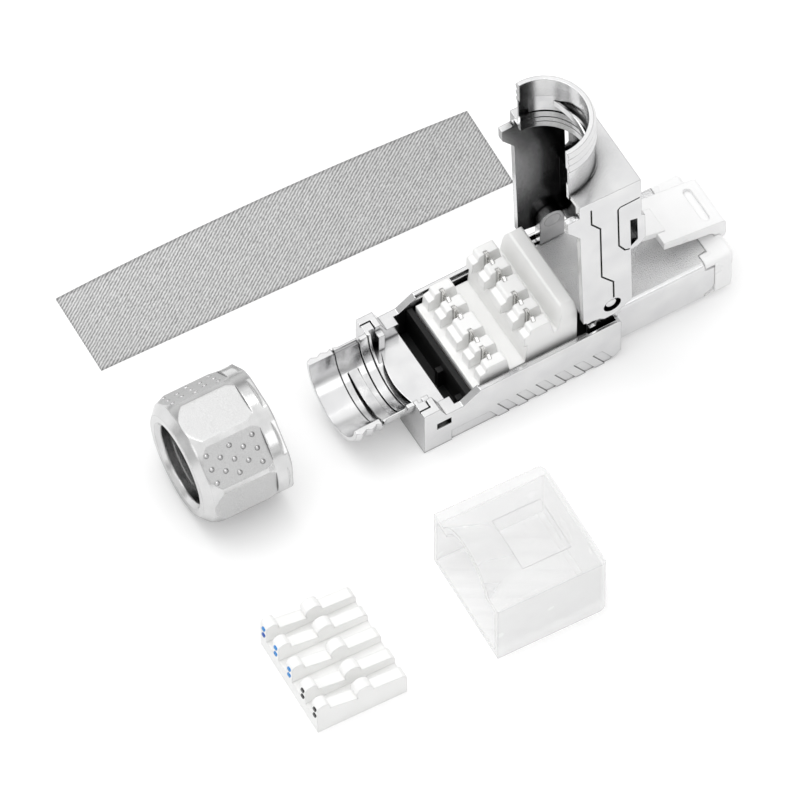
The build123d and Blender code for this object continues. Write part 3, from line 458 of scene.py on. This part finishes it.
def table_card():
    """White matt card: it takes the shadows, is white to the camera and through clear plastic, and
    a little greyer in metal."""
    material, tree, shader, place = start_material("table_card", Roughness=0.9)
    cloud_size, share_in_metal = 2.0, 0.7
    inputs = {"Vector": place, "Scale": per_mm(cloud_size)}
    clouds = add(tree, "ShaderNodeTexNoise", inputs).outputs[0]
    inputs = {0: clouds, 6: linear("#eaeaea"), 7: linear("#ececec")}
    colour = add(tree, "ShaderNodeMix", inputs, data_type="RGBA").outputs[2]
    tree.links.new(colour, shader.inputs["Base Color"])
    path = add(tree, "ShaderNodeLightPath").outputs
    inputs = {0: path["Is Glossy Ray"], 1: share_in_metal}
    in_metal = add(tree, "ShaderNodeMath", inputs, operation="MULTIPLY").outputs[0]
    seen = path["Is Camera Ray"]
    for ray in (path["Is Transmission Ray"], in_metal):
        seen = add(tree, "ShaderNodeMath", {0: seen, 1: ray}, operation="MAXIMUM").outputs[0]
    tree.links.new(seen, shader.inputs["Emission Strength"])
    shader.inputs["Emission Color"].default_value = linear("#868686")
    return material


def dress(material, *names):
    """Gives CAD nodes a material."""
    for name in names:
        piece = NODES[name]
        piece.data.materials.clear()
        piece.data.materials.append(material)


def new_piece(name, form, material):
    """A visible piece of the base body, made from a bmesh whose points are in millimetres."""
    mesh = bpy.data.meshes.new(name)
    bmesh.ops.recalc_face_normals(form, faces=form.faces)
    for vertex in form.verts:
        vertex.co = vertex.co * MM
    for face in form.faces:
        face.smooth = True
    form.to_mesh(mesh)
    form.free()
    made = bpy.data.objects.new(name, mesh)
    bpy.context.scene.collection.objects.link(made)
    mesh.materials.append(material)
    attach(made, "base")
    return made


def tape_piece():
    """Screening tape: a strip of cloth whose near edge lies flat and whose far edge bows up."""
    length, width, sheet, bow = 50.0, 10.3, 0.15, 1.3
    centre = Vector((-11.15, 23.55, 0.0))
    steps_along, steps_across = 160, 24
    form = bmesh.new()
    layers = []
    for side in (0, 1):
        rows = []
        for j in range(steps_across + 1):
            across = -0.5 + j / steps_across
            row = []
            for i in range(steps_along + 1):
                along = -0.5 + i / steps_along
                lift = bow * (across + 0.5) * (1 - 4 * along * along)
                point = centre + ALONG * (along * length) + ASIDE * (across * width)
                row.append(form.verts.new(point + UP * (lift + side * sheet)))
            rows.append(row)
        layers.append(rows)
    for rows in layers:
        for j in range(steps_across):
            for i in range(steps_along):
                corners = (rows[j][i], rows[j][i + 1], rows[j + 1][i + 1], rows[j + 1][i])
                form.faces.new(corners)
    # The rim, once round: near edge, right end, far edge and left end
    rim = [(0, i) for i in range(steps_along)] + [(j, steps_along) for j in range(steps_across)]
    rim += [(steps_across, i) for i in range(steps_along, 0, -1)]
    rim += [(j, 0) for j in range(steps_across, 0, -1)]
    low, high = layers
    for (j, i), (m, k) in zip(rim, rim[1:] + rim[:1]):
        form.faces.new((low[j][i], low[m][k], high[m][k], high[j][i]))
    piece = new_piece("woven_tape", form, conductive_cloth())
    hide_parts("screen_tape")


def add_dome(form, middle, outward, sideways, radius, height):
    """Adds a low dome with a closed foot, round about a direction."""
    rings, spokes, inner = 4, 16, None
    ahead = outward.cross(sideways)
    top = form.verts.new(middle + outward * height)
    for ring in range(1, rings + 1):
        turn = ring / rings * math.pi / 2
        reach, rise = radius * math.sin(turn), height * math.cos(turn)
        loop = []
        for spoke in range(spokes):
            spin = spoke / spokes * 2 * math.pi
            offset = ahead * math.cos(spin) + sideways * math.sin(spin)
            loop.append(form.verts.new(middle + offset * reach + outward * rise))
        for spoke in range(spokes):
            after = (spoke + 1) % spokes
            if inner:
                form.faces.new((inner[spoke], inner[after], loop[after], loop[spoke]))
            else:
                form.faces.new((top, loop[after], loop[spoke]))
        inner = loop
    form.faces.new(inner)


def grip_dots():
    """Low domes on every second flat of the nut, in rows of three and of two by turns."""
    radius, height, sunk = 0.33, 0.075, 0.02
    rows, pitch_along, pitch_across, first = 5, 1.37, 1.6, 1.75
    form = bmesh.new()
    for eighth in (1, 3, 5, 7):
        angle = math.radians(45 * eighth)
        outward = NUT_RISE * math.cos(angle) + ASIDE * math.sin(angle)
        across = NUT_AXIS.cross(outward)
        for row in range(rows):
            count = 3 if row % 2 == 0 else 2
            for index in range(count):
                sideways = (index - (count - 1) / 2) * pitch_across
                middle = NUT_START + NUT_AXIS * (first + row * pitch_along)
                middle = middle + outward * (NUT_HALF - sunk) + across * sideways
                add_dome(form, middle, outward, across, radius, height + sunk)
    new_piece("nut_grip_dots", form, nickel)


def pin_ends():
    """The pins' ends are pressed to low domes, which show in the holes of the cover's walls."""
    radius, height, sunk = 0.76, 0.3, 0.02
    for side, outward in (("near", Vector((0.0, -1.0, 0.0))), ("far", Vector((0.0, 1.0, 0.0)))):
        low, high = (Vector(corner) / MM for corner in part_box(f"hinge_pin_{side}"))
        middle = (low + high) / 2
        middle.y = low.y if side == "near" else high.y
        form = bmesh.new()
        add_dome(form, middle - outward * sunk, outward, UP, radius, height + sunk)
        new_piece(f"pin_end_{side}", form, bright_strip)


def nut_thread():
    """Thread inside the nut: one ridge that winds along the bore and fades out at both ends."""
    bore, crest, pitch, turns, start, sunk = 5.6, 5.3, 1.25, 4.6, 3.1, 0.02
    half_foot, half_crest = 0.55, 0.12
    steps_a_turn, fade_steps, last_share = 72, 18, 0.02
    foot = bore + sunk
    profile = ((-half_foot, foot), (-half_crest, crest), (half_crest, crest), (half_foot, foot))
    form = bmesh.new()
    sections = []
    for step in range(int(turns * steps_a_turn) + 1):
        spin = step / steps_a_turn * 2 * math.pi
        outward = NUT_RISE * math.cos(spin) + ASIDE * math.sin(spin)
        along = start + pitch * step / steps_a_turn
        left = turns * steps_a_turn - step
        fade = min(1.0, step / fade_steps, left / fade_steps + last_share)
        section = []
        for offset, radius in profile:
            reach = foot - (foot - radius) * fade
            point = NUT_START + NUT_AXIS * (along + offset) + outward * reach
            section.append(form.verts.new(point))
        sections.append(section)
    sides = len(profile)
    for near, far in zip(sections, sections[1:]):
        for k in range(sides):
            m = (k + 1) % sides
            form.faces.new((near[k], near[m], far[m], far[k]))
    form.faces.new(sections[0])
    form.faces.new(sections[-1])
    new_piece("nut_thread_ridge", form, nickel)


def ink_mark(name, place, height, ink):
    """One mark of ink on the end of a rib: a squarish oval that leans to one side."""
    half_width, half_height, slant, film = 0.33, 0.52, 0.2, 0.008
    points, squareness = 20, 0.6
    form = bmesh.new()
    layers = []
    for out in (-film, film):
        loop = []
        for k in range(points):
            spin = k / points * 2 * math.pi
            wide = math.copysign(abs(math.cos(spin)) ** squareness, math.cos(spin))
            tall = math.copysign(abs(math.sin(spin)) ** squareness, math.sin(spin))
            spot = ORGANISER_START + ASIDE * (place + half_width * wide - slant * tall)
            loop.append(form.verts.new(spot + UP * (height + half_height * tall) - ALONG * out))
        layers.append(loop)
    back, front = layers
    for k in range(points):
        m = (k + 1) % points
        form.faces.new((back[k], back[m], front[m], front[k]))
    form.faces.new(back)
    form.faces.new(front)
    new_piece(name, form, ink)


def colour_marks():
    """Two marks on the end of each rib, for the colours of the wires."""
    sky = pad_print("ink_sky_blue", "#2c97e0", "#1583d6")
    blue = pad_print("ink_blue", "#155fc0", "#0a4cae")
    black = pad_print("ink_black", "#060609", "#020204")
    pairs = ((sky, blue), (sky, sky), (sky, sky), (black, black), (black, black))
    heights = (3.75, 2.6)
    for number, (place, inks) in enumerate(zip(RIB_PLACES, pairs), 1):
        for level, (ink, height) in enumerate(zip(inks, heights), 1):
            ink_mark(f"wire_mark_{number}_{level}", place, height, ink)


def white_table():
    """The table that the pieces lie on, with its size in metres."""
    bpy.ops.mesh.primitive_plane_add(size=6.0)
    table = bpy.context.object
    table.name = "table"
    table.data.materials.append(table_card())


def studio_room():
    """White walls and ceiling with grey gaps between them, by height of the direction. To the
    camera and through clear plastic the room is plain white."""
    world = bpy.data.worlds.new("studio")
    bpy.context.scene.world = world
    world.use_nodes = True
    tree = world.node_tree
    tree.nodes.clear()
    direction = add(tree, "ShaderNodeTexCoord").outputs["Generated"]
    height = add(tree, "ShaderNodeSeparateXYZ", {0: direction}).outputs["Z"]
    # Height from the horizon to straight up, and the brightness there
    bands = (
        (0.0, 0.78),
        (0.1, 0.45),
        (0.2, 0.82),
        (0.4, 0.62),
        (0.52, 0.38),
        (0.62, 0.56),
        (0.76, 0.96),
        (1.0, 1.0),
    )
    strength = 1.12
    white = (1 / strength, 1 / strength, 1 / strength, 1.0)
    ramp = add(tree, "ShaderNodeValToRGB", {0: height})
    stops = ramp.color_ramp.elements
    stops[0].position, stops[1].position = bands[0][0], bands[-1][0]
    for position, _ in bands[1:-1]:
        stops.new(position)
    for stop, (_, value) in zip(stops, bands):
        stop.color = (value, value, value, 1.0)
    path = add(tree, "ShaderNodeLightPath").outputs
    rays = {0: path["Is Camera Ray"], 1: path["Is Transmission Ray"]}
    seen = add(tree, "ShaderNodeMath", rays, operation="MAXIMUM").outputs[0]
    inputs = {0: seen, 6: ramp.outputs[0], 7: white}
    mixed = add(tree, "ShaderNodeMix", inputs, data_type="RGBA").outputs[2]
    sky = add(tree, "ShaderNodeBackground", {"Color": mixed, "Strength": strength}).outputs[0]
    add(tree, "ShaderNodeOutputWorld", {"Surface": sky})


def soft_boxes():
    """Square lamps that look at the middle of the table."""
    # Name, place in metres, size in metres, power in watts
    lamps = (
        ("overhead_box", (-0.1, 0.15, 0.45), 0.3, 0.54),
        ("left_box", (-0.42, -0.05, 0.25), 0.2, 0.14),
        ("front_box", (0.1, -0.42, 0.3), 0.2, 0.14),
    )
    for name, place, size, power in lamps:
        lamp = bpy.data.lights.new(name, "AREA")
        lamp.size = size
        lamp.energy = power
        holder = bpy.data.objects.new(name, lamp)
        holder.location = place
        holder.rotation_euler = (-Vector(place)).to_track_quat("-Z", "Y").to_euler()
        bpy.context.scene.collection.objects.link(holder)


def far_camera():
    """Camera far away with a long lens, so that edges which run alike stay parallel."""
    # The picture's right and up in the room, the point at its middle, and its scale
    right, up = Vector((0.8609, -0.5087, 0.0)), Vector((0.4294, 0.7267, 0.5363))
    back = right.cross(up)
    target, distance = Vector((-9.997, 1.313, -2.513)), 2500.0
    pixels_per_mm, picture_pixels, sensor = 9.39, 800, 36.0
    camera = bpy.data.cameras.new("camera")
    camera.sensor_width = sensor
    camera.lens = pixels_per_mm * distance / picture_pixels * sensor
    # Nearest and furthest that it sees, in metres
    camera.clip_start, camera.clip_end = 0.1, 20.0
    holder = bpy.data.objects.new("camera", camera)
    turn = Matrix((right, up, back)).transposed().to_4x4()
    holder.matrix_world = Matrix.Translation((target + back * distance) * MM) @ turn
    bpy.context.scene.collection.objects.link(holder)
    bpy.context.scene.camera = holder
    bpy.context.scene.view_settings.view_transform = "Standard"


# Finishes of the solids
nickel = satin_nickel()
bright_strip = spring_strip()
dress(plated_zinc("plated_zinc_tray", reach=7.0, shut=0.1, clear=0.45), "base_tray")
dress(plated_zinc("plated_zinc_cover", reach=14.0, shut=0.48, clear=0.78), "cover")
dress(nickel, "gland_nut")
dress(grained_sheet(), "front_shell")
dress(bright_strip, "screen_clip_lower", "screen_clip_upper", "hinge_pin_near", "hinge_pin_far")
dress(tinned_blade(), *[f"wire_blade_{i}" for i in range(1, 9)])
dress(gilt_contact(), *[f"plug_contact_{i}" for i in range(1, 9)])
dress(white_polyester(), "terminal_block", "wire_organiser")
dress(black_polyester(), "board_liner")
dress(solder_mask(), "circuit_board")
dress(milky_polycarbonate(), "plug_nose", "latch_tab")
dress(clear_polypropylene(), "dust_cap")

# Pieces made here
tape_piece()
grip_dots()
pin_ends()
nut_thread()
colour_marks()

# The place where they are seen
white_table()
studio_room()
soft_boxes()
far_camera()
